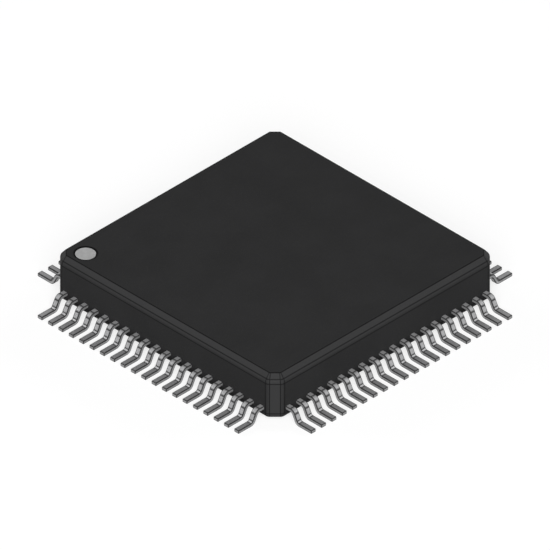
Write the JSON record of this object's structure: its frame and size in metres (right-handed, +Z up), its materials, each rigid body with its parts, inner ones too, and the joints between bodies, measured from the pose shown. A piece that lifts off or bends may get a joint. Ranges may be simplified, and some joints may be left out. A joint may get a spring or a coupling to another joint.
{
  "type": "microcontroller chip",
  "caption": "Flat square chip in a moulded black body, with a row of formed leads along each side and a round dot at the first pin, for soldering to the face of a circuit board.",
  "frame": {"origin": "centre of the seating plane, under the middle of the body", "axes": "+Z up out of the board, from the seating plane to the top face; pin one is at the -X +Y corner, the first row of leads points along -X, and pins count anticlockwise seen from above"},
  "size_m": [0.0172, 0.0172, 0.0025],
  "materials": {
    "mould_compound": "fine matt, as moulded",
    "marking_ink": "matt ink",
    "tin_plate": "satin tin plating",
    "copper_alloy": "bare stamped copper alloy",
    "adhesive": "cured silver-filled adhesive",
    "silicon": "polished",
    "gold_wire": "drawn gold wire"
  },
  "bodies": {
    "root": {"package_body": "mould_compound", "pin_one_dot": "marking_ink", "left_leads": "tin_plate", "front_leads": "tin_plate", "right_leads": "tin_plate", "rear_leads": "tin_plate", "die_paddle": "copper_alloy", "die_attach": "adhesive", "silicon_die": "silicon", "left_wires": "gold_wire", "front_wires": "gold_wire", "right_wires": "gold_wire", "rear_wires": "gold_wire"}
  },
  "joints": []
}
